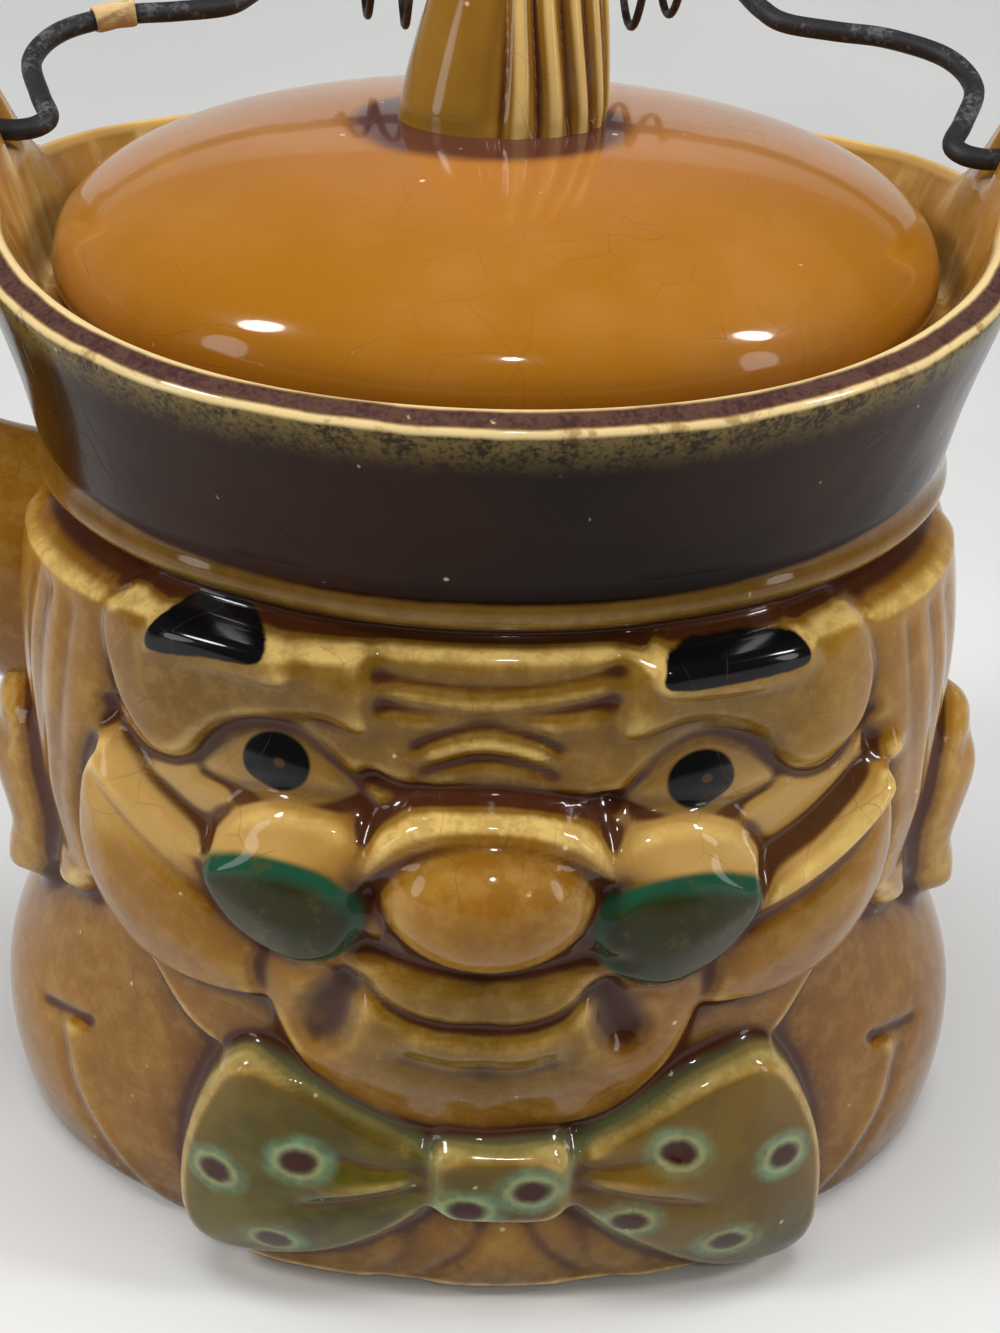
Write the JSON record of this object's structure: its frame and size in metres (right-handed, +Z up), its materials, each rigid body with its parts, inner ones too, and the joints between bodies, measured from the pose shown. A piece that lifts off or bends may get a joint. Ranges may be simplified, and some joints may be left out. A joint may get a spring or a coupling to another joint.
{
  "type": "figural teapot",
  "caption": "Glazed ceramic teapot shaped as a bespectacled gentleman's head and shoulders, with a lift-off domed lid in the hat brim and a swinging wire bail.",
  "frame": {"origin": "centre of the flat underside of the foot, on the surface that the teapot stands on", "axes": "+Z up, the face looks along -Y, the spout leaves towards -X, and the bail's hinge line is parallel to X"},
  "size_m": [0.2116, 0.1483, 0.1959],
  "materials": {
    "amber_glaze": "glossy amber ceramic glaze",
    "lid_glaze": "glossy honey ceramic glaze",
    "coated_wire": "matte black coating, scuffed",
    "coil_wire": "dark brown-black lacquer",
    "paper_tape": "dull tan tape"
  },
  "bodies": {
    "pot": {"body": "amber_glaze", "lid": "lid_glaze"},
    "handle": {"bail": "coated_wire", "grip_coil": "coil_wire", "tape_band": "paper_tape"}
  },
  "joints": [
    {"name": "bail_swing", "type": "hinge", "parent": "pot", "child": "handle", "pos_m": [0, 0, 0.1634], "axis": [1, 0, 0], "range_deg": [0, 140]}
  ]
}
